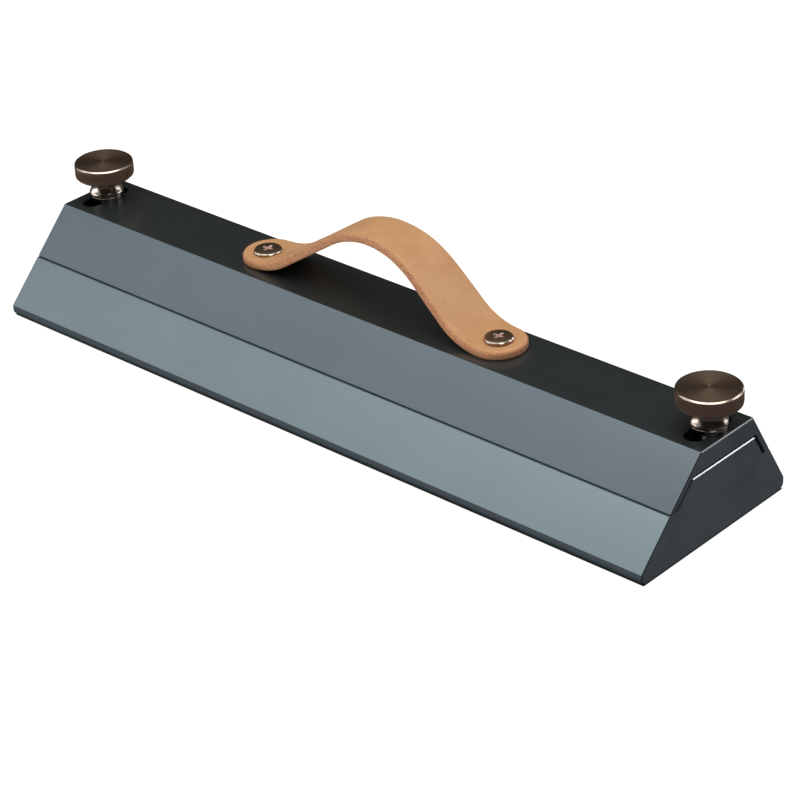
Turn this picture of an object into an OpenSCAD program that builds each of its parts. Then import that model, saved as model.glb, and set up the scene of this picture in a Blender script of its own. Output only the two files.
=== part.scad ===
// Hand sanding block with a clamp cap, two thumb screws and a leather strap.
// A long trapezoidal bar is split at mid height into a base and a cap. The base carries
// a toothed boss, and the cap straddles it. The abrasive sheet wraps the sole and the
// lower flanks, enters the two seams and is pinched between the boss and the cap's legs.
// The front flank leans more than the rear one, so the cap's top sits behind the middle
// of the sole. X runs along the block, Y across it to the rear and Z up from the sole.
// The origin is at the centre of the sole.

/* [Block] */
// Length of the block
block_l = 280; // [230:1:420]
// Width of the sole
sole_w = 70.8; // [70:0.1:80]
// Height from the sole to the top of the cap
block_h = 32.3; // [31.5:0.1:33]
// Angle of the front flank above the sole
front_angle = 45; // [44:1:50]
// Angle of the rear flank above the sole
rear_angle = 60; // [58:1:65]
// Height of the upright land along the sole
land_h = 3.8; // [3:0.1:5]
// Radius of the long edges of the sole
sole_edge_r = 2; // [0.5:0.1:2.5]

/* [Clamp] */
// Height of the seam between the base and the cap
seam_h = 17.3; // [16:0.1:18]
// Height of the boss above the seam
boss_h = 7.7; // [7:0.1:8]
// Thickness of the cap's legs, measured across the block
leg_w = 2.7; // [2.4:0.1:3.2]
// Gap for the abrasive sheet between boss and leg, measured across the block
sheet_gap = 0.7; // [0.5:0.1:1]
// Gap between the top of the boss and the cap
roof_gap = 0.5; // [0.2:0.1:1]
// Spacing of the gripping teeth along the boss flank
tooth_pitch = 0.8; // [0.6:0.1:1.5]
// Depth of the gripping teeth
tooth_depth = 0.35; // [0.2:0.05:0.5]

/* [Thumb screws] */
// Distance from the end of the block to a thumb screw
knob_inset = 7.5; // [7:0.1:20]
// Distance of the thumb screws behind the middle of the cap's top
knob_behind = 0.8; // [0:0.1:2]
// Diameter of the knurled disc
knob_d = 20.8; // [18:0.2:24]
// Height of the head above its washer
knob_h = 12.1; // [11:0.1:14]
// Thickness of the knurled disc
disc_t = 5.6; // [4:0.1:6]
// Number of knurling ridges
knurl_count = 96; // [60:2:110]
// Depth of the knurling
knurl_depth = 0.3; // [0.2:0.1:0.6]
// Diameter of the foot ring
foot_d = 12; // [11:0.1:14]
// Height of the foot ring
foot_h = 1; // [0.6:0.1:2]
// Smallest diameter of the waist
waist_d = 9.6; // [9:0.1:11]
// Outer diameter of the stud's thread
stud_d = 5.9; // [4.9:0.1:5.9]
// Length of the stud below the foot ring
stud_l = 24; // [22:0.5:24.5]
// Length of the stud held inside the head
stud_grip = 8; // [6:0.5:8]
// Thickness of the washer
washer_t = 1.5; // [0.8:0.1:1.6]
// Diameter of the hole in the washer
washer_hole_d = 6.4; // [6.2:0.1:6.8]
// Width of the cross slot in the cap
slot_w = 6.5; // [6.3:0.1:7]
// Length of the cross slot in the cap
slot_l = 19; // [14:0.5:21]

/* [Strap] */
// Thickness of the leather
strap_t = 2.9; // [2:0.1:3.5]
// Diameter of the strap's round ends
strap_end_d = 19.4; // [18:0.2:24]
// Width of the strap at the middle
strap_waist_w = 17.2; // [15:0.2:18]
// Distance from the middle to the centre of a round end
strap_end_x = 50.4; // [49:0.1:52]
// Distance from the middle to a strap screw
strap_screw_x = 51; // [50:0.5:52]
// Rise of the arch, at the middle of the leather's thickness
arch_rise = 24.4; // [22:0.1:26]
// Distance of the arch's top to the right of the middle
arch_x = 3; // [0:0.1:3.5]
// Steepest slope of the arch on the left
slope_left = 33.5; // [33:0.5:40]
// Steepest slope of the arch on the right
slope_right = 42; // [40:0.5:46]
// Radius of the arch, at the middle of the thickness
arch_r = 31.5; // [30:0.5:33]
// Radius of the bend at the left foot, at the middle of the thickness
bend_r_left = 28; // [20:0.5:29]
// Radius of the bend at the right foot, at the middle of the thickness
bend_r_right = 23; // [16:0.5:24]

/* [Strap screws] */
// Diameter of the screw head
head_d = 9.6; // [9:0.1:11]
// Height of the screw head
head_h = 1.3; // [1.2:0.1:2]
// Diameter of the screw thread
shank_d = 5; // [4:0.5:5]
// Length of the screw under its head
shank_l = 9; // [7.5:0.1:9.2]

/* [Hidden] */
$fn = 64;

left = -1;
right = 1;
front = -1;
rear = 1;
overcut = 1;             // how far a cutter runs past the face it opens
thread_clearance = 0.05; // radial room around each screw in its hole
strap_hole_room = 0.2;   // radial room around a strap screw in the leather
boss_top = seam_h + boss_h;
roof_z = boss_top + roof_gap;
knob_x = block_l / 2 - knob_inset;
tapped_depth = 17.5;     // depth of the tapped holes below the top of the boss
drill_point = 1.7;       // height of the cone at the end of a drilled hole
disc_bevel = 0.6;        // bevel of the knurled disc, top and bottom
bevel_inset = 0.1;       // how far the bevels start inside the knurling's roots
head_bevel = 0.4;        // bevel of the strap screw's head
recess_w = 0.95;         // width of one arm of the cross recess
recess_l = 4.4;          // span of the cross recess
recess_h = 1.1;          // depth of the cross recess
arc_step = 3;            // degrees between points on the strap's bends
outline_steps = 10;      // pieces of the strap's outline from waist to round end

function flank_angle(side) = side == front ? front_angle : rear_angle;

// The Y of a flank's face at height z above the land.
function flank_y(side, z) = side * (sole_w / 2 - (z - land_h) / tan(flank_angle(side)));

// The middle of the cap's top, where the slots and the strap are.
axis_y = (flank_y(front, block_h) + flank_y(rear, block_h)) / 2;

// The line of the thumb screws and their tapped holes.
knob_y = axis_y + knob_behind;

// The Y of the inner face of one of the cap's legs at height z.
function leg_y(side, z) = flank_y(side, z) - side * leg_w;

// A point on a flank of the boss, s along it from the seam and d inside it.
function boss_point(side, s, d) =
    let (a = flank_angle(side))
    [leg_y(side, seam_h) - side * (sheet_gap + s * cos(a) + d * sin(a)),
     seam_h + s * sin(a) - d * cos(a)];

function reversed(points) = [for (i = [len(points) - 1:-1:0]) points[i]];

// An arc of radius r about centre c, from angle a to angle b, with b included.
function arc(c, r, a, b) =
    let (n = ceil(abs(b - a) / arc_step))
    [for (i = [0:n]) let (t = a + (b - a) * i / n) [c[0] + r * cos(t), c[1] + r * sin(t)]];

// Extrudes a profile drawn in the YZ plane along X, centred.
module along_x(length) {
    rotate([90, 0, 90])
        linear_extrude(length, center = true)
            children();
}

// One side of the base's section, from the sole's edge up to the seam.
function base_side(side) = [
    [side * (sole_w / 2 - sole_edge_r), 0], [side * sole_w / 2, sole_edge_r],
    [side * sole_w / 2, land_h], [flank_y(side, seam_h), seam_h]];

module base_profile() {
    polygon(concat(base_side(rear), reversed(base_side(front))));
    for (side = [front, rear])
        translate([side * (sole_w / 2 - sole_edge_r), sole_edge_r])
            circle(sole_edge_r);
}

// One toothed flank of the boss, from the seam up. The teeth run along the block.
function boss_side(side) =
    let (flank_l = boss_h / sin(flank_angle(side)),
         tooth_count = floor(flank_l / tooth_pitch) - 1,
         first = (flank_l - tooth_count * tooth_pitch) / 2)
    concat(
        [boss_point(side, 0, 0)],
        [for (i = [0:tooth_count - 1], end = [0, 1])
            boss_point(side, first + (i + end / 2) * tooth_pitch, end * tooth_depth)],
        [boss_point(side, flank_l - first, 0), boss_point(side, flank_l, 0)]);

// One side of the cap's section, from the channel's corner round the leg to the top.
function cap_side(side) = [
    [leg_y(side, roof_z), roof_z], [leg_y(side, seam_h), seam_h],
    [flank_y(side, seam_h), seam_h], [flank_y(side, block_h), block_h]];

module base_block() {
    color("#4b555b")
    difference() {
        along_x(block_l)
            union() {
                base_profile();
                polygon(concat(boss_side(rear), reversed(boss_side(front))));
            }
        for (side = [left, right])
            translate([side * knob_x, knob_y, boss_top - tapped_depth]) {
                cylinder(h = tapped_depth + overcut, d = stud_d + 2 * thread_clearance);
                translate([0, 0, -drill_point])
                    cylinder(h = drill_point, d1 = 0, d2 = stud_d + 2 * thread_clearance);
            }
    }
}

// A slot across the cap with round ends, cut down through its roof.
module cross_slot() {
    cut_h = block_h - roof_z + 2 * overcut;
    reach = (slot_l - slot_w) / 2;
    translate([0, 0, roof_z - overcut]) {
        translate([-slot_w / 2, -reach, 0])
            cube([slot_w, 2 * reach, cut_h]);
        for (end = [-1, 1])
            translate([0, end * reach, 0])
                cylinder(h = cut_h, d = slot_w);
    }
}

module clamp_cap() {
    color("#3c4449")
    difference() {
        along_x(block_l)
            polygon(concat(cap_side(rear), reversed(cap_side(front))));
        for (side = [left, right]) {
            translate([side * knob_x, axis_y, 0])
                cross_slot();
            translate([side * strap_screw_x, axis_y, roof_z - overcut])
                cylinder(h = block_h - roof_z + 2 * overcut, d = shank_d + 2 * thread_clearance);
        }
    }
}

// Half of the arched strap seen from the side, from the arch's top out to the tip, h above
// the middle of the thickness. The slope is the steepest one, reach the distance to the tip.
function half_arch(slope, bend_r, reach, h) =
    let (slope_drop = (arch_r + bend_r) * (1 - cos(slope)),
         straight_l = (arch_rise - slope_drop) / sin(slope),
         bend_x = (arch_r + bend_r) * sin(slope) + straight_l * cos(slope))
    concat(
        arc([0, strap_t / 2 + arch_rise - arch_r], arch_r + h, 90, 90 - slope),
        arc([bend_x, strap_t / 2 + bend_r], bend_r - h, 270 - slope, 270),
        [[reach, strap_t / 2 + h]]);

// The strap's centre line moved h outwards, from the left tip over the arch to the right tip.
function strap_line(h) =
    let (tip_x = strap_end_x + strap_end_d / 2,
         left_half = half_arch(slope_left, bend_r_left, tip_x + arch_x, h),
         right_half = half_arch(slope_right, bend_r_right, tip_x - arch_x, h))
    concat(
        [for (i = [len(left_half) - 1:-1:1]) [arch_x - left_half[i][0], left_half[i][1]]],
        [for (point = right_half) [arch_x + point[0], point[1]]]);

module strap_side() {
    polygon(concat(strap_line(strap_t / 2), reversed(strap_line(-strap_t / 2))));
}

// The strap seen from above: two round ends and a narrower middle.
module strap_outline() {
    swell = (strap_end_d - strap_waist_w) / 2;
    far_edge = [for (i = [1 - outline_steps:outline_steps - 1])
        [strap_end_x * i / outline_steps,
         strap_waist_w / 2 + swell * (1 - cos(180 * i / outline_steps)) / 2]];
    polygon(concat(
        far_edge,
        arc([strap_end_x, 0], strap_end_d / 2, 90, -90),
        [for (point = far_edge) [-point[0], -point[1]]],
        arc([-strap_end_x, 0], strap_end_d / 2, 270, 90)));
}

module handle_strap() {
    color("#c99a6c")
    translate([0, axis_y, block_h])
        difference() {
            intersection() {
                rotate([90, 0, 0])
                    linear_extrude(strap_end_d + 2 * overcut, center = true)
                        strap_side();
                linear_extrude(arch_rise + 2 * strap_t)
                    strap_outline();
            }
            for (side = [left, right])
                translate([side * strap_screw_x, 0, -overcut]) {
                    cylinder(h = strap_t + 2 * overcut, d = shank_d + 2 * strap_hole_room);
                    translate([0, 0, strap_t + overcut])
                        cylinder(h = head_h + overcut, d = head_d + 2 * thread_clearance);
                }
        }
}

module strap_screw(side) {
    color("#6b625b")
    translate([side * strap_screw_x, axis_y, block_h + strap_t])
        difference() {
            union() {
                translate([0, 0, -shank_l])
                    cylinder(h = shank_l, d = shank_d);
                cylinder(h = head_h - head_bevel, d = head_d);
                translate([0, 0, head_h - head_bevel])
                    cylinder(h = head_bevel, d1 = head_d, d2 = head_d - 2 * head_bevel);
            }
            for (turn = [0, 90])
                rotate(turn)
                    translate([-recess_l / 2, -recess_w / 2, head_h - recess_h])
                        cube([recess_l, recess_w, recess_h + overcut]);
        }
}

// A disc with straight knurling, its ridges reaching diameter d.
module knurled_disc(d, h) {
    step = 360 / knurl_count;
    linear_extrude(h)
        polygon([for (i = [0:knurl_count - 1], end = [0, 1])
            let (r = d / 2 - end * knurl_depth, a = (i + end / 2) * step)
            [r * cos(a), r * sin(a)]]);
}

// The head of a thumb screw, standing on its washer.
module knob(side) {
    disc_z = knob_h - disc_t;
    bevel_d = knob_d - 2 * knurl_depth - 2 * bevel_inset;
    waist_h = disc_z - foot_h;
    sag = (foot_d - waist_d) / 2;
    waist_r = (pow(waist_h / 2, 2) + sag * sag) / (2 * sag);
    color("#5f544c")
    translate([side * knob_x, knob_y, block_h + washer_t])
        difference() {
            union() {
                rotate_extrude()
                    difference() {
                        square([foot_d / 2, disc_z]);
                        translate([waist_d / 2 + waist_r, foot_h + waist_h / 2])
                            circle(waist_r);
                    }
                translate([0, 0, disc_z])
                    cylinder(h = disc_bevel, d1 = bevel_d - 2 * disc_bevel, d2 = bevel_d);
                translate([0, 0, disc_z + disc_bevel])
                    knurled_disc(knob_d, disc_t - 2 * disc_bevel);
                translate([0, 0, knob_h - disc_bevel])
                    cylinder(h = disc_bevel, d1 = bevel_d, d2 = bevel_d - 2 * disc_bevel);
            }
            translate([0, 0, -overcut])
                cylinder(h = stud_grip + overcut, d = stud_d + 2 * thread_clearance);
        }
}

module knob_stud(side) {
    color("#8c8781")
    translate([side * knob_x, knob_y, block_h + washer_t - stud_l])
        cylinder(h = stud_l + stud_grip, d = stud_d);
}

module knob_washer(side) {
    color("#7c746c")
    translate([side * knob_x, knob_y, block_h])
        difference() {
            cylinder(h = washer_t, d = foot_d);
            translate([0, 0, -overcut])
                cylinder(h = washer_t + 2 * overcut, d = washer_hole_d);
        }
}

base_block();
clamp_cap();
handle_strap();
strap_screw(left);  // strap_screw_left
strap_screw(right);  // strap_screw_right
knob(left);  // knob_left
knob(right);  // knob_right
knob_stud(left);  // knob_stud_left
knob_stud(right);  // knob_stud_right
knob_washer(left);  // knob_washer_left
knob_washer(right);  // knob_washer_right
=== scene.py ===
import math

import bmesh
import bpy
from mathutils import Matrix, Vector, noise


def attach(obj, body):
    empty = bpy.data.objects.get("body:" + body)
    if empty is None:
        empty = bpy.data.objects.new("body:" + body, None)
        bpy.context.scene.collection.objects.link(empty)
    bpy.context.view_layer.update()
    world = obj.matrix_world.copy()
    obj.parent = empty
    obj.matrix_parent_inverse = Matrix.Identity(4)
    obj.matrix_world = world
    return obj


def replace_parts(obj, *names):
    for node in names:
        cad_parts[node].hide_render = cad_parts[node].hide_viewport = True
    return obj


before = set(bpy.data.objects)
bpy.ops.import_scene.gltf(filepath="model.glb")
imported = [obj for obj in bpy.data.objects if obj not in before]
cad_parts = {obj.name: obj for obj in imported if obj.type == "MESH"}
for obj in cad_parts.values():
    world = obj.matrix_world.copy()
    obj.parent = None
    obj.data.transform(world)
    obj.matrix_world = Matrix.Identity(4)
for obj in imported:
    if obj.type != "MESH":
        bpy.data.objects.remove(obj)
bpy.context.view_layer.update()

MM = 0.001

# Sides of the block: along Y, and along X.
FRONT, REAR = -1, 1
LEFT, RIGHT = -1, 1

# Sizes in millimetres, the same as the CAD model's. The block:
BLOCK_L = 280
SOLE_HALF = 35.4
BLOCK_H = 32.3
FLANKS = {FRONT: math.radians(45), REAR: math.radians(60)}
LAND_H = 3.8
SOLE_EDGE_R = 2
SEAM_H = 17.3
BOSS_H = 7.7
BOSS_TOP = SEAM_H + BOSS_H
LEG_W = 2.7
SHEET_GAP = 0.7
ROOF_Z = 25.5
TOOTH_PITCH = 0.8
TOOTH_DEPTH = 0.35
SLOT_W = 6.5
SLOT_L = 19
HOLE_DEPTH = 17.5
SCREW_BORE_R = 2.55

# The thumb screws:
KNOB_X = 132.5
KNOB_BEHIND = 0.8
KNOB_H = 12.1
DISC_T = 5.6
DISC_R = 10.4
KNURLS = 96
KNURL_DEPTH = 0.3
FOOT_R = 6
FOOT_H = 1
WAIST_R = 4.8
WAIST_Z = 4.9
WASHER_T = 1.5
STUD_R = 2.95
STUD_L = 24
STUD_GRIP = 8

# The strap and its screws:
STRAP_T = 2.9
STRAP_END_R = 9.7
STRAP_END_X = 50.4
STRAP_HALF = 8.6
ARCH_RISE = 24.4
ARCH_X = 3
ARCH_R = 31.5
SLOPES = {LEFT: math.radians(33.5), RIGHT: math.radians(42)}
BEND_RS = {LEFT: 28, RIGHT: 23}
STRAP_SCREW_X = 51
HEAD_R = 4.8
HEAD_H = 1.3
SHANK_R = 2.5
SHANK_L = 9


def flank_y(side, z):
    """The Y of the front or rear flank at height z above the land."""
    return side * (SOLE_HALF - (z - LAND_H) / math.tan(FLANKS[side]))


# The middle of the cap's top, where the slots and the strap are, and the thumb screws' line.
AXIS_Y = (flank_y(FRONT, BLOCK_H) + flank_y(REAR, BLOCK_H)) / 2
KNOB_Y = AXIS_Y + KNOB_BEHIND


# ---------------------------------------------------------------- meshes

def new_object(name, verts, faces, materials, face_material=None, sharp=32, origin=(0, 0, 0)):
    """A mesh object from points in millimetres, smooth-shaded except across sharp edges."""
    mesh = bpy.data.meshes.new(name)
    mesh.from_pydata([tuple(c * MM for c in v) for v in verts], [], faces)
    for material in materials:
        mesh.materials.append(material)
    if face_material:
        mesh.polygons.foreach_set("material_index", face_material)
    clean(mesh, sharp)
    obj = bpy.data.objects.new(name, mesh)
    bpy.context.scene.collection.objects.link(obj)
    obj.location = Vector(origin) * MM
    return obj


def clean(mesh, sharp):
    """Merges doubled points, turns faces outward and marks the sharp edges."""
    bm = bmesh.new()
    bm.from_mesh(mesh)
    bmesh.ops.remove_doubles(bm, verts=bm.verts, dist=1e-7)
    bmesh.ops.dissolve_degenerate(bm, edges=bm.edges, dist=1e-8)
    bmesh.ops.recalc_face_normals(bm, faces=bm.faces)
    bm.to_mesh(mesh)
    bm.free()
    mesh.polygons.foreach_set("use_smooth", [True] * len(mesh.polygons))
    mesh.set_sharp_from_angle(angle=math.radians(sharp))
    mesh.update()


def cut(target, cutters, sharp=32):
    """Cuts the cutters out of the target; each cut face keeps its cutter's material number."""
    for cutter in cutters:
        step = target.modifiers.new("cut", "BOOLEAN")
        step.operation = "DIFFERENCE"
        step.solver = "EXACT"
        step.object = cutter
    graph = bpy.context.evaluated_depsgraph_get()
    mesh = bpy.data.meshes.new_from_object(target.evaluated_get(graph))
    target.modifiers.clear()
    target.data = mesh
    for cutter in cutters:
        bpy.data.objects.remove(cutter)
    clean(mesh, sharp)
    return target


def join(target, other):
    """Adds the other object's mesh, which stands at the same place, to the target's."""
    bm = bmesh.new()
    bm.from_mesh(target.data)
    bm.from_mesh(other.data)
    bm.to_mesh(target.data)
    bm.free()
    bpy.data.objects.remove(other)


def flat(rings):
    """One list of all the points in some rings."""
    return [point for ring in rings for point in ring]


def circle(radius, z, count):
    """Points of a ring about Z."""
    return [(radius * math.cos(2 * math.pi * i / count), radius * math.sin(2 * math.pi * i / count), z)
            for i in range(count)]


def rings_to_faces(rings, count, closed_ends=True):
    """Quads between rings of count points each, with a face over each end."""
    faces = []
    for r in range(rings - 1):
        for i in range(count):
            j = (i + 1) % count
            faces.append((r * count + i, r * count + j, (r + 1) * count + j, (r + 1) * count + i))
    if closed_ends:
        faces.append(tuple(range(count)))
        faces.append(tuple((rings - 1) * count + i for i in range(count)))
    return faces


def outline(corners, inset):
    """The outline of a profile moved inwards by inset. corners are (y, z, radius) to be rounded, or
    (y, z, (ny, nz)) for a point on a face with that outward normal. They run anticlockwise."""
    arc_points = 5
    points = []
    for k, (y, z, kind) in enumerate(corners):
        here = Vector((y, z))
        if isinstance(kind, tuple):
            points.append(here - inset * Vector(kind))
            continue
        before = (here - Vector(corners[k - 1][:2])).normalized()
        after = (Vector(corners[(k + 1) % len(corners)][:2]) - here).normalized()
        turn = math.atan2(before.x * after.y - before.y * after.x, before.dot(after))
        convex = turn > 0
        side = 1 if convex else -1
        normal_in = Vector((before.y, -before.x))
        half = abs(turn) / 2
        bisector = (after - before).normalized()
        centre = here + bisector * (kind / math.cos(half))
        radius = kind - inset if convex else kind + inset
        for i in range(arc_points):
            if radius <= 0:
                points.append(centre + bisector * (-radius / math.cos(half)))
                continue
            a = turn * i / (arc_points - 1)
            n = Vector((normal_in.x * math.cos(a) - normal_in.y * math.sin(a),
                        normal_in.x * math.sin(a) + normal_in.y * math.cos(a)))
            points.append(centre + side * radius * n)
    return points


# Places in the base's and the cap's lists of materials.
SIDES, ENDS, SHADED_EDGES, DEEP_SHADES, LIPS = range(5)


def bar(name, corners, chamfer, materials, chamfer_material):
    """An extrusion along X with chamfered ends. chamfer_material(z) is the place in materials for a
    chamfer's face whose middle stands at height z."""
    half = BLOCK_L / 2
    stations = [(-half, chamfer), (-half + chamfer, 0), (half - chamfer, 0), (half, chamfer)]
    verts = []
    for x, inset in stations:
        verts += [(x, p.x, p.y) for p in outline(corners, inset)]
    count = len(verts) // len(stations)
    faces = rings_to_faces(len(stations), count)
    marks = []
    for n, face in enumerate(faces):
        if len(face) > 4:
            marks.append(ENDS)
        elif n // count == 1:
            marks.append(SIDES)
        else:
            marks.append(chamfer_material(sum(verts[v][2] for v in face) / 4))
    return new_object(name, verts, faces, materials, marks)


def lathe(profile, steps, knurl=None):
    """Points and quads of a surface turned about Z. profile is a list of (r, z). knurl(r, z, angle)
    returns the radius there."""
    verts = []
    for r, z in profile:
        for i in range(steps):
            a = 2 * math.pi * i / steps
            rr = knurl(r, z, a) if knurl else r
            verts.append((rr * math.cos(a), rr * math.sin(a), z))
    return verts, rings_to_faces(len(profile), steps, closed_ends=False)


def rounded(profile, radius, steps):
    """A lathe profile with every inner corner rounded to at most radius, except blunt ones."""
    blunt = math.radians(80)
    longest_reach = 0.45
    out = [profile[0]]
    for k in range(1, len(profile) - 1):
        a, b, c = Vector(profile[k - 1]), Vector(profile[k]), Vector(profile[k + 1])
        u, v = (a - b), (c - b)
        cosine = max(-1.0, min(1.0, u.normalized().dot(v.normalized())))
        half = math.acos(cosine) / 2
        if half > blunt:
            out.append(tuple(b))
            continue
        reach = min(radius / math.tan(half), longest_reach * u.length, longest_reach * v.length)
        p, q = b + u.normalized() * reach, b + v.normalized() * reach
        for i in range(steps + 1):
            t = i / steps
            out.append(tuple((1 - t) ** 2 * p + 2 * t * (1 - t) * b + t * t * q))
    out.append(profile[-1])
    return out


def thread_rings(radius, depth, pitch, low, high, steps, per_pitch, taper=0.0):
    """Rings of a right-hand thread between two heights, with flat crests and roots. taper is the
    height over which its low end widens to the full radius."""
    flank_rise, root = 1.375, 0.15
    rings = []
    count = int(round((high - low) / pitch * per_pitch))
    for k in range(count + 1):
        z = low + (high - low) * k / count
        ring = []
        for i in range(steps):
            a = 2 * math.pi * i / steps
            phase = (z / pitch - i / steps) % 1
            ridge = min(1, max(0, flank_rise * (1 - abs(2 * phase - 1)) - root))
            r = radius - depth * (1 - ridge)
            if taper:
                r = min(r, radius - max(0, taper - (z - low)))
            ring.append((r * math.cos(a), r * math.sin(a), z))
        rings.append(ring)
    return rings


# ---------------------------------------------------------------- materials

class Shading:
    """A material, and short ways to add nodes to it. Lengths in nodes are in metres."""

    def __init__(self, name, colour, metallic=0.0, roughness=0.5, **sockets):
        self.material = bpy.data.materials.new(name)
        self.material.use_nodes = True
        self.tree = self.material.node_tree
        self.shader = self.tree.nodes["Principled BSDF"]
        self.set("Base Color", (*colour, 1))
        self.set("Metallic", metallic)
        self.set("Roughness", roughness)
        for socket, value in sockets.items():
            self.set(socket.replace("_", " "), value)
        self.place = self.add("ShaderNodeTexCoord").outputs["Object"]

    def set(self, socket, value):
        self.link(value, self.shader.inputs[socket])

    def link(self, value, socket):
        """Joins a socket to the input, or writes a number or colour on it."""
        if isinstance(value, bpy.types.NodeSocket):
            self.tree.links.new(value, socket)
        else:
            socket.default_value = value

    def add(self, kind, inputs=None, **settings):
        node = self.tree.nodes.new(kind)
        for key, value in settings.items():
            setattr(node, key, value)
        for socket, value in (inputs or {}).items():
            self.link(value, node.inputs[socket])
        return node

    def math(self, operation, a, b=0.0):
        """The result of an operation on numbers or sockets."""
        return self.add("ShaderNodeMath", {0: a, 1: b}, operation=operation).outputs[0]

    def parts(self):
        """The place's X, Y and Z."""
        return self.add("ShaderNodeSeparateXYZ", {0: self.place}).outputs

    def stretch(self, scale):
        """The place, scaled along X, Y and Z."""
        return self.add("ShaderNodeMapping", {"Vector": self.place, "Scale": scale}).outputs["Vector"]

    def noise(self, scale, detail=3.0, place=None, rough=0.55, distortion=0.0):
        node = self.add("ShaderNodeTexNoise", {
            "Vector": place or self.place, "Scale": scale, "Detail": detail,
            "Roughness": rough, "Distortion": distortion})
        return node.outputs[0]

    def ramp(self, value, low, high, to_low=0.0, to_high=1.0):
        """The value, eased from low and high to the other two limits."""
        node = self.add("ShaderNodeMapRange", {
            "Value": value, "From Min": low, "From Max": high,
            "To Min": to_low, "To Max": to_high}, interpolation_type="SMOOTHSTEP")
        return node.outputs[0]

    def blend(self, amount, a, b):
        """Colour a where amount is 0, and colour b where it is 1."""
        node = self.add("ShaderNodeMix", {0: amount}, data_type="RGBA")
        self.link(a if isinstance(a, bpy.types.NodeSocket) else (*a, 1), node.inputs[6])
        self.link(b if isinstance(b, bpy.types.NodeSocket) else (*b, 1), node.inputs[7])
        return node.outputs[2]

    def bump(self, height, depth, strength, under=None):
        """A normal bumped by height, on top of another one where under is given."""
        inputs = {"Height": height, "Distance": depth, "Strength": strength}
        if under is not None:
            inputs["Normal"] = under
        return self.add("ShaderNodeBump", inputs).outputs["Normal"]


def shade(colour, factor):
    """The colour, lighter or darker."""
    return tuple(min(1.0, c * factor) for c in colour)


def anodised(name, colour, roughness=0.34):
    """Satin dyed anodising on an aluminium extrusion: faint die lines along X, a fine etched grain."""
    variation = 0.03
    s = Shading(name, colour, metallic=0.93)
    lines = s.noise(1.0, 4.0, s.stretch((6, 1500, 1500)), 0.6)
    cloud = s.noise(28, 3.0)
    grain = s.noise(2600, 2.0)
    tone = s.math("ADD", s.math("MULTIPLY", lines, 0.45), s.math("MULTIPLY", cloud, 0.55))
    s.set("Base Color", s.blend(s.ramp(tone, 0.36, 0.64), shade(colour, 1 - variation),
                                shade(colour, 1 + variation)))
    s.set("Roughness", s.ramp(grain, 0.3, 0.7, roughness - 0.02, roughness + 0.03))
    first = s.bump(lines, 1e-6, 0.3)
    s.set("Normal", s.bump(grain, 5e-6, 0.6, first))
    return s.material


def milled(name, colour, roughness=0.4):
    """A milled or bored face: faint arcs across it, dyed with the rest."""
    s = Shading(name, colour, metallic=1.0)
    arcs = s.add("ShaderNodeTexWave", {
        "Vector": s.place, "Scale": 420, "Distortion": 3.0, "Detail": 2.0,
        "Detail Scale": 1.5}, wave_type="RINGS", rings_direction="X").outputs["Fac"]
    grain = s.noise(2200, 2.0)
    cloud = s.noise(60, 2.0)
    s.set("Base Color", s.blend(s.ramp(cloud, 0.3, 0.7), shade(colour, 0.88), shade(colour, 1.1)))
    s.set("Roughness", s.ramp(grain, 0.3, 0.7, roughness - 0.05, roughness + 0.06))
    first = s.bump(arcs, 3e-6, 0.5)
    s.set("Normal", s.bump(grain, 5e-6, 0.5, first))
    return s.material


def bare_metal(name, colour, roughness):
    """A freshly cut edge: bright, with fine lines along it."""
    s = Shading(name, colour, metallic=1.0)
    lines = s.noise(1.0, 3.0, s.stretch((300, 300, 2500)))
    s.set("Base Color", s.blend(lines, shade(colour, 0.96), shade(colour, 1.04)))
    s.set("Roughness", s.ramp(lines, 0.3, 0.7, roughness - 0.02, roughness + 0.03))
    s.set("Normal", s.bump(lines, 3e-7, 0.3))
    return s.material


def turned(name, colour, roughness, groove, depth=2e-6, anisotropic=0.0, rotation=0.0):
    """Turned and dark-plated metal: tool lines in rings about the piece's axis, groove millimetres
    apart and depth metres deep."""
    s = Shading(name, colour, metallic=1.0, Anisotropic=anisotropic, Anisotropic_Rotation=rotation)
    x, y, z = s.parts()
    radius = s.math("SQRT", s.math("ADD", s.math("MULTIPLY", x, x), s.math("MULTIPLY", y, y)))
    along = s.math("ADD", radius, z)
    rings = s.math("SINE", s.math("MULTIPLY", along, 2 * math.pi / (groove * MM)))
    uneven = s.noise(3500, 3.0, s.add("ShaderNodeCombineXYZ", {0: along}).outputs[0])
    cloud = s.noise(220, 2.0)
    s.set("Base Color", s.blend(s.math("MULTIPLY", s.math("ADD", uneven, cloud), 0.5),
                                shade(colour, 0.78), shade(colour, 1.2)))
    s.set("Roughness", s.ramp(uneven, 0.3, 0.7, roughness - 0.04, roughness + 0.06))
    if anisotropic:
        s.set("Tangent", s.add("ShaderNodeTangent", direction_type="RADIAL", axis="Z").outputs[0])
    first = s.bump(rings, depth, 0.6)
    s.set("Normal", s.bump(uneven, depth, 0.5, first))
    return s.material


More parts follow.
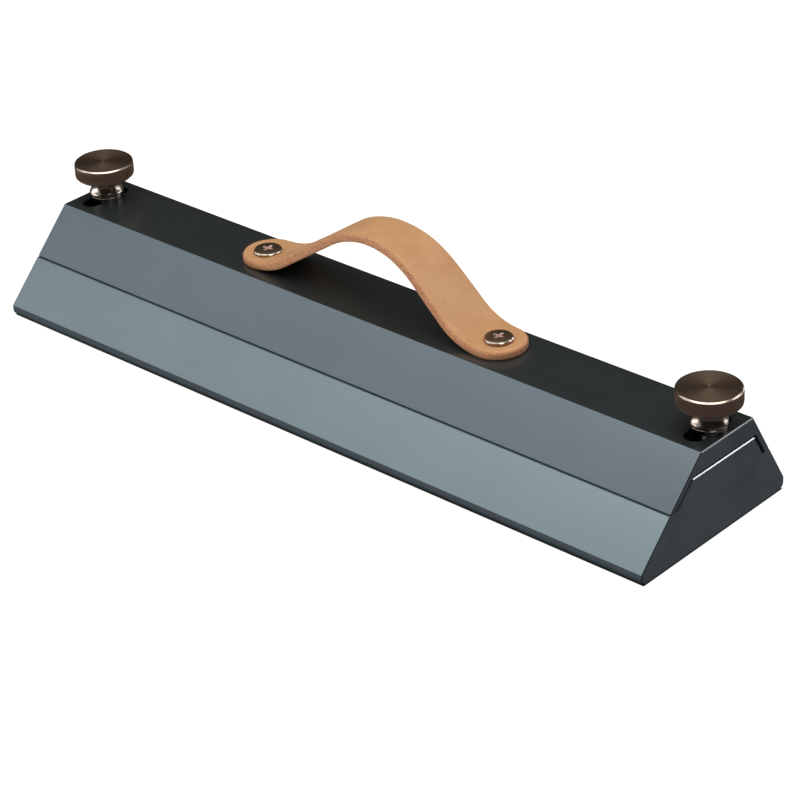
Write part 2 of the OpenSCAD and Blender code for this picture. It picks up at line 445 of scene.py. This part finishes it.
def leather_face():
    """The grain side of natural vegetable-tanned leather: clouds, pores, creases and small marks."""
    light, dark = (0.615, 0.345, 0.182), (0.55, 0.295, 0.149)
    red, mark = (0.53, 0.262, 0.137), (0.33, 0.16, 0.08)
    s = Shading("leather_grain_side", light, roughness=0.5, Specular_IOR_Level=0.35)
    cloud = s.noise(55, 4.0, rough=0.6)
    blotch = s.noise(180, 3.0)
    pores = s.add("ShaderNodeTexVoronoi", {"Vector": s.place, "Scale": 1500},
                  feature="DISTANCE_TO_EDGE").outputs["Distance"]
    creases = s.noise(700, 5.0, s.stretch((1.0, 0.6, 1.0)), 0.65, 0.6)
    marks = s.ramp(s.noise(420, 1.0), 0.7, 0.76)
    base = s.blend(s.ramp(cloud, 0.35, 0.65), dark, light)
    base = s.blend(s.ramp(blotch, 0.55, 0.8, 0.0, 0.35), base, red)
    s.set("Base Color", s.blend(s.math("MULTIPLY", marks, 0.35), base, mark))
    s.set("Roughness", s.ramp(creases, 0.3, 0.7, 0.42, 0.6))
    first = s.bump(creases, 4e-5, 0.5)
    s.set("Normal", s.bump(s.ramp(pores, 0.0, 0.12), 1.5e-5, 0.4, first))
    return s.material


def leather_edge():
    """The cut edge of the leather: pinkish-brown, matt, its layers faintly showing."""
    s = Shading("leather_cut_edge", (0.40, 0.20, 0.11), roughness=0.75, Specular_IOR_Level=0.25)
    fibre = s.noise(900, 5.0, s.stretch((1, 1, 2.2)), 0.7, 0.8)
    cloud = s.noise(160, 3.0)
    base = s.blend(s.ramp(fibre, 0.3, 0.7), (0.36, 0.155, 0.074), (0.70, 0.36, 0.20))
    s.set("Base Color", s.blend(s.ramp(cloud, 0.4, 0.7, 0.0, 0.5), base, (0.50, 0.23, 0.12)))
    s.set("Roughness", s.ramp(fibre, 0.3, 0.7, 0.65, 0.85))
    s.set("Normal", s.bump(fibre, 1.6e-4, 0.7))
    return s.material


def leather_back():
    """The flesh side: darker, matt and fuzzy; its darkness is painted shade under the strap's arch."""
    s = Shading("leather_flesh_side_painted_shade", (0.18, 0.10, 0.06), roughness=0.9, Specular_IOR_Level=0.15)
    nap = s.noise(1600, 5.0, rough=0.75, distortion=1.2)
    cloud = s.noise(90, 3.0)
    base = s.blend(s.ramp(nap, 0.25, 0.75), (0.16, 0.088, 0.05), (0.28, 0.165, 0.10))
    s.set("Base Color", s.blend(s.ramp(cloud, 0.4, 0.7, 0.0, 0.4), base, (0.20, 0.11, 0.065)))
    s.set("Roughness", s.ramp(nap, 0.3, 0.7, 0.82, 0.98))
    s.set("Normal", s.bump(nap, 1.2e-4, 0.6))
    return s.material


BASE_METAL = anodised("anodised_base", (0.235, 0.30, 0.335))
CAP_METAL = anodised("anodised_cap", (0.165, 0.205, 0.232), roughness=0.3)
BASE_END = milled("base_cut_end", (0.225, 0.27, 0.29))
CAP_END = milled("cap_cut_end", (0.215, 0.25, 0.27))
# A darker colour for the chamfers round the ends and the slots' mouths: painted shade.
SHADED_EDGE = anodised("anodised_edge_painted_shade", (0.07, 0.078, 0.08), roughness=0.42)
# A paler anodised colour for the cap's top chamfer: a painted highlight.
TOP_EDGE_HIGHLIGHT = anodised("cap_top_edge_painted_highlight", (0.25, 0.26, 0.27), roughness=0.32)
BRIGHT = bare_metal("bare_edge", (0.86, 0.87, 0.88), roughness=0.3)
# Near-black: painted shade inside the bores and slots, and a painted contact shadow along the base's sole
# chamfer.
DEEP_SHADE = milled("deep_painted_shade", (0.035, 0.04, 0.045), roughness=0.5)
KNOB_FACE = turned("turned_face", (0.38, 0.275, 0.215), roughness=0.36, groove=0.34, depth=6e-6,
                   anisotropic=0.5, rotation=0.25)
KNOB_BODY = turned("turned_body", (0.215, 0.18, 0.155), roughness=0.2, groove=0.5, depth=5e-7)
KNOB_RIM = turned("knurled_rim", (0.31, 0.20, 0.14), roughness=0.3, groove=0.6)
KNOB_EDGE = bare_metal("knob_edge", (0.62, 0.535, 0.475), roughness=0.22)
SCREW_FACE = turned("screw_face", (0.40, 0.285, 0.21), roughness=0.34, groove=0.3)
# Much paler than the screw's face: a painted highlight on the recess's facets.
RECESS_HIGHLIGHT = turned("screw_recess_painted_highlight", (0.80, 0.66, 0.60), roughness=0.4, groove=0.3)
THREAD = turned("thread", (0.50, 0.49, 0.47), roughness=0.3, groove=0.9)
GRAIN_SIDE = leather_face()
CUT_EDGE = leather_edge()
# Dark brown underneath: painted shade under the arch.
FLESH_SIDE = leather_back()


# ---------------------------------------------------------------- base and cap

def leg_y(side, z):
    """The Y of the inner face of one of the cap's legs."""
    return flank_y(side, z) - side * LEG_W


def boss_flank(side):
    """Points of a toothed flank of the boss, from the seam up."""
    angle = FLANKS[side]
    normal = (side * math.sin(angle), math.cos(angle))
    foot_y = leg_y(side, SEAM_H) - side * SHEET_GAP
    foot_r, top_r = 0.3, 0.35
    length = BOSS_H / math.sin(angle)

    def point(s, d=0.0):
        return (foot_y - side * s * math.cos(angle) - d * normal[0],
                SEAM_H + s * math.sin(angle) - d * normal[1])

    count = int(length / TOOTH_PITCH) - 1
    first = (length - count * TOOTH_PITCH) / 2
    teeth = [(*point(first + i * TOOTH_PITCH / 2, (i % 2) * TOOTH_DEPTH), normal)
             for i in range(2 * count + 1)]
    return [(*point(0), foot_r), *teeth, (*point(length), top_r)]


def tapped_hole(side):
    """A cutter for a threaded hole with a countersunk mouth and a drilled point."""
    root_r, mouth_r = 3.3, 3.85
    point_depth = 1.7
    count = 32
    rings = thread_rings(root_r, depth=0.3, pitch=1.0, low=BOSS_TOP - HOLE_DEPTH, high=BOSS_TOP - 0.4,
                         steps=count, per_pitch=6)
    rings.append(circle(root_r + 0.05, BOSS_TOP - 0.35, count))
    rings.append(circle(mouth_r, BOSS_TOP + 0.15, count))
    rings.append(circle(mouth_r, BOSS_TOP + 1, count))
    verts = flat(rings)
    faces = rings_to_faces(len(rings), count, closed_ends=False)
    top = len(verts) - count
    faces.append(tuple(top + i for i in range(count)))
    verts.append((0, 0, BOSS_TOP - HOLE_DEPTH - point_depth))
    faces += [(i, (i + 1) % count, len(verts) - 1) for i in range(count)]
    # The hole's walls take the near-black painted shade.
    return new_object("hole_cutter", verts, faces, [], [DEEP_SHADES] * len(faces),
                      origin=(side * KNOB_X, KNOB_Y, 0))


def slot_cutter(side):
    """A cutter for a cross slot with a small chamfer round its mouth and its lower edge."""
    steps = 24
    below, mouth = 0.25, 0.3

    def loop(grow, z):
        points = []
        for end in (1, -1):
            for i in range(steps + 1):
                a = math.pi * i / steps + (0 if end == 1 else math.pi)
                points.append(((SLOT_W / 2 + grow) * math.cos(a),
                               end * (SLOT_L - SLOT_W) / 2 + (SLOT_W / 2 + grow) * math.sin(a), z))
        return points

    levels = ((below, ROOF_Z - 2), (below, ROOF_Z), (0, ROOF_Z + below), (0, BLOCK_H - mouth),
              (mouth, BLOCK_H), (mouth, BLOCK_H + 2))
    verts = flat(loop(grow, z) for grow, z in levels)
    faces = rings_to_faces(len(levels), 2 * (steps + 1))
    marks = []
    for face in faces:
        z = sum(verts[v][2] for v in face) / len(face)
        # The mouth's chamfer takes the darker chamfers' painted shade, the walls the near-black painted
        # shade.
        marks.append(SHADED_EDGES if BLOCK_H - mouth < z < BLOCK_H else DEEP_SHADES)
    return new_object("slot_cutter", verts, faces, [], marks, origin=(side * KNOB_X, AXIS_Y, 0))


def screw_hole_cutter(side):
    """A cutter for a strap screw's bore through the cap's roof."""
    count = 32
    verts = circle(SCREW_BORE_R, ROOF_Z - 1, count) + circle(SCREW_BORE_R, BLOCK_H + 1, count)
    faces = rings_to_faces(2, count)
    # The bore's wall takes the near-black painted shade.
    return new_object("bore_cutter", verts, faces, [], [DEEP_SHADES] * len(faces),
                      origin=(side * STRAP_SCREW_X, AXIS_Y, 0))


BASE_CHAMFER = 0.28
CAP_CHAMFER = 0.32
SEAM_EDGE_R = 0.42


def make_base():
    """The base, with a bare, bright chamfer along the boss's top edge, a near-black one round the sole as a
    painted contact shadow, and darker ones elsewhere, painted shade.
    """
    def half(side):
        return [(side * SOLE_HALF, 0, SOLE_EDGE_R), (side * SOLE_HALF, LAND_H, 0.4),
                (flank_y(side, SEAM_H), SEAM_H, SEAM_EDGE_R), *boss_flank(side)]

    def chamfer_material(z):
        if z > BOSS_TOP - 0.2:
            return LIPS
        # Round the sole the chamfer is painted near-black as a contact shadow; the rest take the darker
        # painted shade.
        return DEEP_SHADES if z < 1 else SHADED_EDGES

    base = bar("base_extrusion", half(REAR) + half(FRONT)[::-1], BASE_CHAMFER,
               [BASE_METAL, BASE_END, SHADED_EDGE, DEEP_SHADE, BRIGHT], chamfer_material)
    return cut(base, [tapped_hole(LEFT), tapped_hole(RIGHT)])


def make_cap():
    """The cap, with a paler chamfer along its top edge, a painted highlight, and darker chamfers elsewhere,
    painted shade.
    """
    def half(side):
        return [(leg_y(side, ROOF_Z), ROOF_Z, 0.5), (leg_y(side, SEAM_H), SEAM_H, 0.25),
                (flank_y(side, SEAM_H), SEAM_H, SEAM_EDGE_R), (flank_y(side, BLOCK_H), BLOCK_H, 0.35)]

    def chamfer_material(z):
        # The top chamfer takes the painted highlight, the others the darker painted shade.
        return LIPS if z > BLOCK_H - 0.25 else SHADED_EDGES

    cap = bar("cap_extrusion", half(REAR) + half(FRONT)[::-1], CAP_CHAMFER,
              [CAP_METAL, CAP_END, SHADED_EDGE, DEEP_SHADE, TOP_EDGE_HIGHLIGHT], chamfer_material)
    return cut(cap, [slot_cutter(LEFT), slot_cutter(RIGHT),
                     screw_hole_cutter(LEFT), screw_hole_cutter(RIGHT)])


# ---------------------------------------------------------------- thumb screws

RING_R = DISC_R - 0.12       # the smooth ring above and below the knurling
KNURL_MARGIN = 0.85          # from the disc's faces to the knurling
KNURL_RUN_OUT = 0.3          # the height over which the ridges rise from the smooth ring
KNURL_STEPS = 5              # steps round each ridge
LATHE_STEPS = 96             # steps round a smooth piece


def knurled(r, z, angle):
    """Straight knurling on the disc's rim, running out into a smooth ring above and below."""
    if r <= RING_R:
        return r
    wave = abs((angle * KNURLS / (2 * math.pi)) % 1 - 0.5) * 2
    ridge = min(1.0, 1.35 * wave)
    run_out = min(1.0, (KNOB_H - KNURL_MARGIN - z) / KNURL_RUN_OUT,
                  (z - KNOB_H + DISC_T - KNURL_MARGIN) / KNURL_RUN_OUT)
    return RING_R + max(0.0, run_out) * (r - RING_R - KNURL_DEPTH * (1 - ridge))


def waist_arcs(disc_z):
    """The hollow between the foot and the disc: an arc below the waist's thinnest place and one
    above it."""
    steps = 14
    sag = FOOT_R - WAIST_R
    arcs = []
    for height, way in ((WAIST_Z - FOOT_H, -1), (disc_z - WAIST_Z, 1)):
        arc_r = (height ** 2 + sag ** 2) / (2 * sag)
        reach = math.asin(height / arc_r)
        part = []
        for i in range(steps):
            a = reach * (i + 0.5) / steps
            part.append((WAIST_R + arc_r * (1 - math.cos(a)), WAIST_Z + way * arc_r * math.sin(a)))
        arcs += part if way == 1 else part[::-1]
    return arcs


def knob_profile():
    """(r, z) from the stud's bore under the foot, up the waist, round the disc to the pip in the
    middle of its slightly dished face."""
    disc_z = KNOB_H - DISC_T
    bore_r, bore_top = 3.0, 1.5
    foot_z = 0.03  # a hair above the washer
    foot = rounded([(bore_r, bore_top), (bore_r, foot_z), (FOOT_R - 0.2, foot_z), (FOOT_R, 0.2),
                    (FOOT_R, FOOT_H - 0.12), (FOOT_R - 0.08, FOOT_H)], 0.08, 2)
    disc = rounded([(FOOT_R - 0.05, disc_z), (DISC_R - 0.75, disc_z), (RING_R, disc_z + 0.6)], 0.1, 2)
    rim = [(RING_R, disc_z + 0.8), (DISC_R, disc_z + 0.86), (DISC_R, disc_z + 1.15), (DISC_R, disc_z + 2.8),
           (DISC_R, KNOB_H - 1.15), (DISC_R, KNOB_H - 0.86), (RING_R, KNOB_H - 0.8)]
    lip = rounded([(RING_R, KNOB_H - 0.75), (RING_R, KNOB_H - 0.38), (DISC_R - 0.62, KNOB_H),
                   (DISC_R - 1.0, KNOB_H)], 0.1, 2)
    dish, dish_r = 0.06, 9.9
    face = [(r, KNOB_H - dish * (1 - (r / dish_r) ** 2)) for r in (9, 7.5, 6, 4.5, 3, 1.5, 0.7)]
    pip = [(0.42, KNOB_H - 0.08), (0.2, KNOB_H - 0.12), (0.0, KNOB_H - 0.13)]
    return foot + waist_arcs(disc_z) + disc + rim + lip + face + pip


def make_knob(name, side):
    """A thumb screw's head: a body with a knurled rim, a bright bevel and a ring-turned face."""
    verts, faces = lathe(knob_profile(), KNURLS * KNURL_STEPS, knurled)
    body, top, rim, bevel = range(4)
    marks = []
    for face in faces:
        r = max(math.hypot(verts[v][0], verts[v][1]) for v in face)
        low = min(verts[v][2] for v in face)
        high = max(verts[v][2] for v in face)
        if low > KNOB_H - 0.35 and r < DISC_R - 0.5:
            marks.append(top)
        elif low > KNOB_H - 0.45:
            marks.append(bevel)
        elif r > FOOT_R + 0.3 and high > KNOB_H - DISC_T + 0.05:
            marks.append(rim)
        else:
            marks.append(body)
    return new_object(name, verts, faces, [KNOB_BODY, KNOB_FACE, KNOB_RIM, KNOB_EDGE], marks,
                      sharp=38, origin=(side * KNOB_X, KNOB_Y, BLOCK_H + WASHER_T))


def make_stud(name, side):
    """The stud: threaded below the head, plain where the head grips it."""
    count = 40
    core_r, tip_r = 2.55, 2.3
    rings = thread_rings(STUD_R, depth=0.5, pitch=1.0, low=-STUD_L, high=-0.6, steps=count,
                         per_pitch=8, taper=0.7)
    rings.append(circle(core_r, -0.4, count))
    rings.append(circle(core_r, STUD_GRIP - 0.3, count))
    rings.append(circle(tip_r, STUD_GRIP, count))
    return new_object(name, flat(rings), rings_to_faces(len(rings), count), [THREAD], sharp=50,
                      origin=(side * KNOB_X, KNOB_Y, BLOCK_H + WASHER_T))


def make_washer(name, side):
    """The washer under a thumb screw, with softened edges."""
    bore_r, outer_r = 3.2, 6.0
    ring = rounded([(bore_r, WASHER_T / 2), (bore_r, 0.0), (outer_r - 0.1, 0.0), (outer_r, 0.12),
                    (outer_r, WASHER_T - 0.16), (outer_r - 0.14, WASHER_T), (bore_r + 0.1, WASHER_T),
                    (bore_r, WASHER_T - 0.1), (bore_r, WASHER_T / 2)], 0.05, 2)
    verts, faces = lathe(ring, LATHE_STEPS)
    return new_object(name, verts, faces, [KNOB_BODY], origin=(side * KNOB_X, KNOB_Y, BLOCK_H))


# ---------------------------------------------------------------- strap screws

def recess_arm(turn):
    """A tapered arm of the cross recess, turned about Z."""
    # Height, half length and half thickness above the head, near its face and at the recess's floor.
    levels = ((HEAD_H + 0.5, 2.2, 0.54), (HEAD_H - 0.1, 1.95, 0.48), (HEAD_H - 1.15, 0.9, 0.3))
    verts = []
    for z, half_l, half_t in levels:
        for x, y in ((half_l, half_t), (-half_l, half_t), (-half_l, -half_t), (half_l, -half_t)):
            verts.append((x * math.cos(turn) - y * math.sin(turn),
                          x * math.sin(turn) + y * math.cos(turn), z))
    return verts, rings_to_faces(len(levels), 4)


def make_strap_screw(name, side, turn):
    """A strap screw: a low round head with a bevelled rim and a cross recess, and its shank."""
    face, bevel, recess = range(3)
    # The cross recess takes the painted highlight.
    materials = [SCREW_FACE, KNOB_EDGE, RECESS_HIGHLIGHT]
    head = rounded([(0.0, 0.0), (HEAD_R - 0.15, 0.0), (HEAD_R, 0.15), (HEAD_R, HEAD_H - 0.62),
                    (HEAD_R - 0.3, HEAD_H - 0.26), (HEAD_R - 1.3, HEAD_H - 0.1),
                    (HEAD_R - 2.8, HEAD_H - 0.02), (0.0, HEAD_H)], 0.2, 3)
    verts, faces = lathe(head, LATHE_STEPS)
    marks = []
    for quad in faces:
        r = max(math.hypot(verts[v][0], verts[v][1]) for v in quad)
        z = sum(verts[v][2] for v in quad) / 4
        marks.append(bevel if HEAD_H - 0.68 < z < HEAD_H - 0.24 and r > HEAD_R - 0.4 else face)
    spot = (side * STRAP_SCREW_X, AXIS_Y, BLOCK_H + STRAP_T)
    screw = new_object(name, verts, faces, materials, marks, origin=spot)
    cutters = []
    for k in range(2):
        arm_verts, arm_faces = recess_arm(turn + k * math.pi / 2)
        cutters.append(new_object("recess_cutter", arm_verts, arm_faces, [], [recess] * len(arm_faces),
                                  origin=spot))
    cut(screw, cutters, 30)
    steps = 32
    rings = thread_rings(SHANK_R, depth=0.4, pitch=0.8, low=-SHANK_L, high=-0.2, steps=steps,
                         per_pitch=6, taper=0.5)
    shank = new_object("shank", flat(rings), rings_to_faces(len(rings), steps), materials,
                       sharp=50, origin=spot)
    join(screw, shank)
    return screw


# ---------------------------------------------------------------- strap

EDGE_R = 0.8                 # the rounding of the leather's edges
HALF_T = STRAP_T / 2
ACROSS = 14                  # steps across the strap's upper and lower face


def strap_path(s):
    """The middle of the leather at distance s along it from the top of the arch: (x, z, slope)."""
    side = RIGHT if s >= 0 else LEFT
    s = abs(s)
    slope, bend_r = SLOPES[side], BEND_RS[side]
    drop = (ARCH_R + bend_r) * (1 - math.cos(slope))
    straight = (ARCH_RISE - drop) / math.sin(slope)
    foot_z = BLOCK_H + HALF_T
    top = foot_z + ARCH_RISE
    arch_end = ARCH_R * slope
    straight_end = arch_end + straight
    bend_end = straight_end + bend_r * slope
    bend_x = (ARCH_R + bend_r) * math.sin(slope) + straight * math.cos(slope)
    if s < arch_end:
        a = s / ARCH_R
        reach, z = ARCH_R * math.sin(a), top - ARCH_R * (1 - math.cos(a))
    elif s < straight_end:
        a, t = slope, s - arch_end
        reach = ARCH_R * math.sin(a) + t * math.cos(a)
        z = top - ARCH_R * (1 - math.cos(a)) - t * math.sin(a)
    elif s < bend_end:
        a = (bend_end - s) / bend_r
        reach, z = bend_x - bend_r * math.sin(a), foot_z + bend_r * (1 - math.cos(a))
    else:
        a, reach, z = 0.0, bend_x + s - bend_end, foot_z
    return ARCH_X + side * reach, z, -side * a


def strap_length_to(x):
    """The distance along the strap at which its middle reaches x, negative on the left."""
    low, high = -120.0, 120.0
    for _ in range(40):
        middle = (low + high) / 2
        if strap_path(middle)[0] < x:
            low = middle
        else:
            high = middle
    return low


def strap_lie(x):
    """How the leather lies off its middle line at x: its shift in Y, its roll as a slope, which is
    largest on the right leg, and how far its edges droop, which is most at the top."""
    middle_shift, end_shift = 0.9, 0.9 if x < 0 else 0.2
    most_roll, roll_x, roll_reach = 0.057, 30, 14
    most_droop, droop_reach = 0.4, 28
    outward = min(1, abs(x) / 50)
    shift = end_shift * outward + middle_shift * (1 - outward)
    roll = most_roll * math.exp(-((x - roll_x) / roll_reach) ** 2)
    droop = most_droop * math.exp(-(x / droop_reach) ** 2)
    return shift, roll, droop


def strap_half(side):
    """(s, half width, outward normal) along the strap's outline from the middle to one tip."""
    long_steps, tip_steps = 60, 28
    end_s = strap_length_to(side * STRAP_END_X)
    swell = STRAP_END_R - STRAP_HALF
    points = []
    for i in range(long_steps + 1):
        s = end_s * i / long_steps
        turn = math.pi * min(1, abs(strap_path(s)[0]) / STRAP_END_X)
        width = STRAP_HALF + swell * (1 - math.cos(turn)) / 2
        widening = swell * math.pi / STRAP_END_X * math.sin(turn) / 2
        points.append((s, width, Vector((-side * widening, 1)).normalized()))
    for i in range(1, tip_steps + 1):
        a = math.pi / 2 * (1 - i / tip_steps)
        n = Vector((side * math.cos(a), math.sin(a)))
        points.append((end_s + STRAP_END_R * n.x, STRAP_END_R * n.y, n))
    return points


def strap_rim():
    """(inset, height) up the strap's cut edge, with its corners rounded."""
    angles = [math.pi / 2 * i / 4 for i in range(5)]
    lower = [(EDGE_R * (1 - math.sin(a)), -HALF_T + EDGE_R * (1 - math.cos(a))) for a in angles]
    upper = [(EDGE_R * (1 - math.cos(a)), HALF_T - EDGE_R * (1 - math.sin(a))) for a in angles]
    return lower + [(0.0, h) for h in (-0.3, 0.0, 0.3)] + upper


def strap_section(rim, s, w, n):
    """Points (s, y, h) of a cross-section, from the far lower edge up, over and down."""
    def side_point(sign, d, h):
        return s - d * n.x, sign * max(0.0, w - d * n.y), h

    points = [side_point(1, d, h) for d, h in rim]
    s_in, y_in, _ = side_point(1, EDGE_R, 0)
    points += [(s_in, y_in * (1 - 2 * k / ACROSS), HALF_T) for k in range(1, ACROSS)]
    points += [side_point(-1, d, h) for d, h in reversed(rim)]
    points += [(s_in, -y_in * (1 - 2 * k / ACROSS), -HALF_T) for k in range(1, ACROSS)]
    return points


def leather_lift(s, y, h, near, screw_s):
    """How far the leather's upper face stands off its even height: slightly wavy, pressed down
    round the screw and towards its edges. near runs from 0 in the middle to 1 at the edge."""
    wave, press, edge_fall = 0.12, 0.32, 0.10
    press_spread = 4.5
    lift = 0.0
    if h > 0.5:
        lift = wave * noise.noise(Vector((s * 0.05, y * 0.08, 3.1)) * 2.2)
    if h > 0:
        gap = math.hypot(s - screw_s[LEFT if s < 0 else RIGHT], y)
        lift -= press * math.exp(-max(0.0, gap - HEAD_R) ** 2 / press_spread) * min(1.0, h / HALF_T)
        lift -= edge_fall * near ** 6
    return lift


def strap_point(s, y, h, w, screw_s):
    """The place of a cross-section's point on the strap as it lies over the block."""
    x, z, slope = strap_path(s)
    near = min(1.0, abs(y) / w) if w > 0.01 else 1.0
    shift, roll, droop = strap_lie(x)
    up = h + leather_lift(s, y, h, near, screw_s) + roll * y - droop * (y / 10) ** 2
    side_wave = 0.12 * noise.noise(Vector((s * 0.09, 7.7 if y > 0 else 1.3, h * 0.4)))
    across = AXIS_Y + shift + y + math.copysign(side_wave * near ** 4, y)
    return x - up * math.sin(slope), across, z + up * math.cos(slope)


def make_strap():
    """The strap: cross-sections along its length, with the grain side up and the flesh side down."""
    screw_s = {side: strap_length_to(side * STRAP_SCREW_X) for side in (LEFT, RIGHT)}
    stations = strap_half(LEFT)[:0:-1] + strap_half(RIGHT)
    rim = strap_rim()
    verts = []
    for s, w, n in stations:
        verts += [strap_point(*point, w, screw_s) for point in strap_section(rim, s, w, n)]
    count = len(verts) // len(stations)
    faces = rings_to_faces(len(stations), count)
    grain, edge, flesh = range(3)
    rim_n = len(rim)
    marks = []
    for n, face in enumerate(faces):
        i = n % count
        if len(face) > 4:
            marks.append(edge)
        elif rim_n - 2 <= i < rim_n + ACROSS:
            marks.append(grain)
        elif i >= 2 * rim_n + ACROSS - 2 or i < 1:
            marks.append(flesh)
        else:
            marks.append(edge)
    return new_object("leather_strap", verts, faces, [GRAIN_SIDE, CUT_EDGE, FLESH_SIDE], marks, sharp=60)


# ---------------------------------------------------------------- the object

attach(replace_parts(make_base(), "base_block"), "base")
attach(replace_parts(make_cap(), "clamp_cap"), "cap")
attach(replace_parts(make_strap(), "handle_strap"), "cap")
turned_pieces = []
for side, word, turn in ((LEFT, "left", 0.12), (RIGHT, "right", 0.05)):
    screw = make_strap_screw(word + "_strap_screw_head", side, turn)
    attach(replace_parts(screw, "strap_screw_" + word), "cap")
    knob = make_knob(word + "_thumb_screw_head", side)
    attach(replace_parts(knob, "knob_" + word), word + "_thumb_screw")
    stud = make_stud(word + "_thumb_screw_thread", side)
    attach(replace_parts(stud, "knob_stud_" + word), word + "_thumb_screw")
    washer = make_washer(word + "_washer_ring", side)
    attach(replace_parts(washer, "knob_washer_" + word), word + "_washer")
    turned_pieces += [screw, knob]


# ---------------------------------------------------------------- studio

def make_floor():
    """A pale floor that glows softly, except right beneath the block, where it is painted near-black as a
    contact shadow.
    """
    size, glow, soft = 9.0, 0.92, 0.4
    mesh = bpy.data.meshes.new("floor")
    mesh.from_pydata([(-size, -size, 0), (size, -size, 0), (size, size, 0), (-size, size, 0)], [],
                     [(0, 1, 2, 3)])
    floor = bpy.data.objects.new("floor", mesh)
    bpy.context.scene.collection.objects.link(floor)
    floor.location.z = -0.0002
    s = Shading("pale_floor", (0.9, 0.9, 0.9), roughness=0.9, Specular_IOR_Level=0.0)
    s.set("Emission Color", (1, 1, 1, 1))
    x, y, _ = s.parts()
    shadow_x, shadow_y = BLOCK_L / 2 - 0.1, SOLE_HALF - 1
    beside = s.ramp(s.math("ABSOLUTE", x), shadow_x * MM, (shadow_x + soft) * MM)
    before = s.ramp(s.math("ABSOLUTE", y), shadow_y * MM, (shadow_y + soft) * MM)
    clear = s.math("MAXIMUM", beside, before)
    s.set("Emission Strength", s.math("MULTIPLY", clear, glow))
    pale = s.blend(s.noise(3.0, 2.0), (0.28, 0.28, 0.28), (0.31, 0.31, 0.31))
    # Beneath the block the floor's colour is near-black: a painted contact shadow.
    s.set("Base Color", s.blend(clear, (0.03, 0.03, 0.03), pale))
    mesh.materials.append(s.material)
    floor.visible_glossy = False


def softbox(name, direction, distance, size, radiance, colour=(1, 1, 1), only=None):
    """An area light aimed at the block's middle from that direction. It lights only the pieces
    given as only, where there are any."""
    data = bpy.data.lights.new(name, "AREA")
    data.shape = "RECTANGLE"
    data.size, data.size_y = size
    data.energy = radiance * data.size * data.size_y * math.pi
    data.color = colour
    lamp = bpy.data.objects.new(name, data)
    bpy.context.scene.collection.objects.link(lamp)
    way = Vector(direction).normalized()
    lamp.location = way * distance + Vector((0, 0, 0.02))
    lamp.rotation_euler = (-way).to_track_quat("-Z", "Y").to_euler()
    if only:
        receivers = bpy.data.collections.new(name + "_receivers")
        for piece in only:
            receivers.objects.link(piece)
        lamp.light_linking.receiver_collection = receivers


def make_world():
    """A dim studio for light and reflections, and a pale backdrop for the camera."""
    backdrop_tone = 0.97
    nadir, walls = (0.02, 0.02, 0.02), (0.18, 0.182, 0.19)
    ceiling, zenith = (0.036, 0.029, 0.02), (0.28, 0.28, 0.28)
    # Heights run from 0 straight down to 1 straight up, with the horizon at 0.5.
    levels = ((0.14, nadir), (0.2, walls), (0.48, walls), (0.52, ceiling), (0.80, ceiling), (0.93, zenith))
    world = bpy.data.worlds.new("studio")
    bpy.context.scene.world = world
    world.use_nodes = True
    tree = world.node_tree
    tree.nodes.clear()

    def add(kind, **settings):
        node = tree.nodes.new(kind)
        for key, value in settings.items():
            setattr(node, key, value)
        return node

    place = add("ShaderNodeTexCoord")
    parts = add("ShaderNodeSeparateXYZ")
    tree.links.new(place.outputs["Generated"], parts.inputs[0])
    lift = add("ShaderNodeMath", operation="MULTIPLY_ADD")
    lift.inputs[1].default_value = 0.5
    lift.inputs[2].default_value = 0.5
    tree.links.new(parts.outputs[2], lift.inputs[0])
    ramp = add("ShaderNodeValToRGB")
    tree.links.new(lift.outputs[0], ramp.inputs[0])
    stops = ramp.color_ramp.elements
    stops[0].position, stops[1].position = levels[0][0], levels[-1][0]
    for height, _ in levels[1:-1]:
        stops.new(height)
    for stop, (_, tone) in zip(stops, levels):
        stop.color = (*tone, 1)
    studio = add("ShaderNodeBackground")
    tree.links.new(ramp.outputs[0], studio.inputs[0])
    backdrop = add("ShaderNodeBackground")
    backdrop.inputs[0].default_value = (backdrop_tone, backdrop_tone, backdrop_tone, 1)
    rays = add("ShaderNodeLightPath")
    mix = add("ShaderNodeMixShader")
    tree.links.new(rays.outputs["Is Camera Ray"], mix.inputs[0])
    tree.links.new(studio.outputs[0], mix.inputs[1])
    tree.links.new(backdrop.outputs[0], mix.inputs[2])
    out = add("ShaderNodeOutputWorld")
    tree.links.new(mix.outputs[0], out.inputs[0])


def make_camera():
    """A long lens from the front right, above the block."""
    data = bpy.data.cameras.new("camera")
    data.lens = 125.195
    data.sensor_width = 36
    data.clip_start, data.clip_end = 0.05, 50
    camera = bpy.data.objects.new("camera", data)
    bpy.context.scene.collection.objects.link(camera)
    camera.location = (0.56029, -0.5707, 0.45312)
    camera.rotation_euler = [math.radians(v) for v in (60.2905, 2.7169, 42.2846)]
    bpy.context.scene.camera = camera


make_floor()
make_world()
softbox("key", (-0.52, -0.63, 0.55), 1.3, (1.4, 1.3), 0.91)
softbox("overhead", (0.12, -0.1, 1.0), 1.3, (1.5, 0.9), 3.0, (1, 0.95, 0.82))
softbox("back_right", (0.50, 0.68, 0.56), 1.3, (0.55, 0.5), 2.0)
softbox("front_right", (0.75, -0.3, 0.9), 1.3, (0.45, 0.35), 3.5)
softbox("low_left", (-0.80, -0.60, 0.09), 0.9, (0.8, 0.22), 7.5, only=turned_pieces)
softbox("low_right", (0.45, 0.89, 0.09), 0.9, (0.7, 0.22), 5.0, only=turned_pieces)
make_camera()
bpy.context.scene.view_settings.view_transform = "Standard"
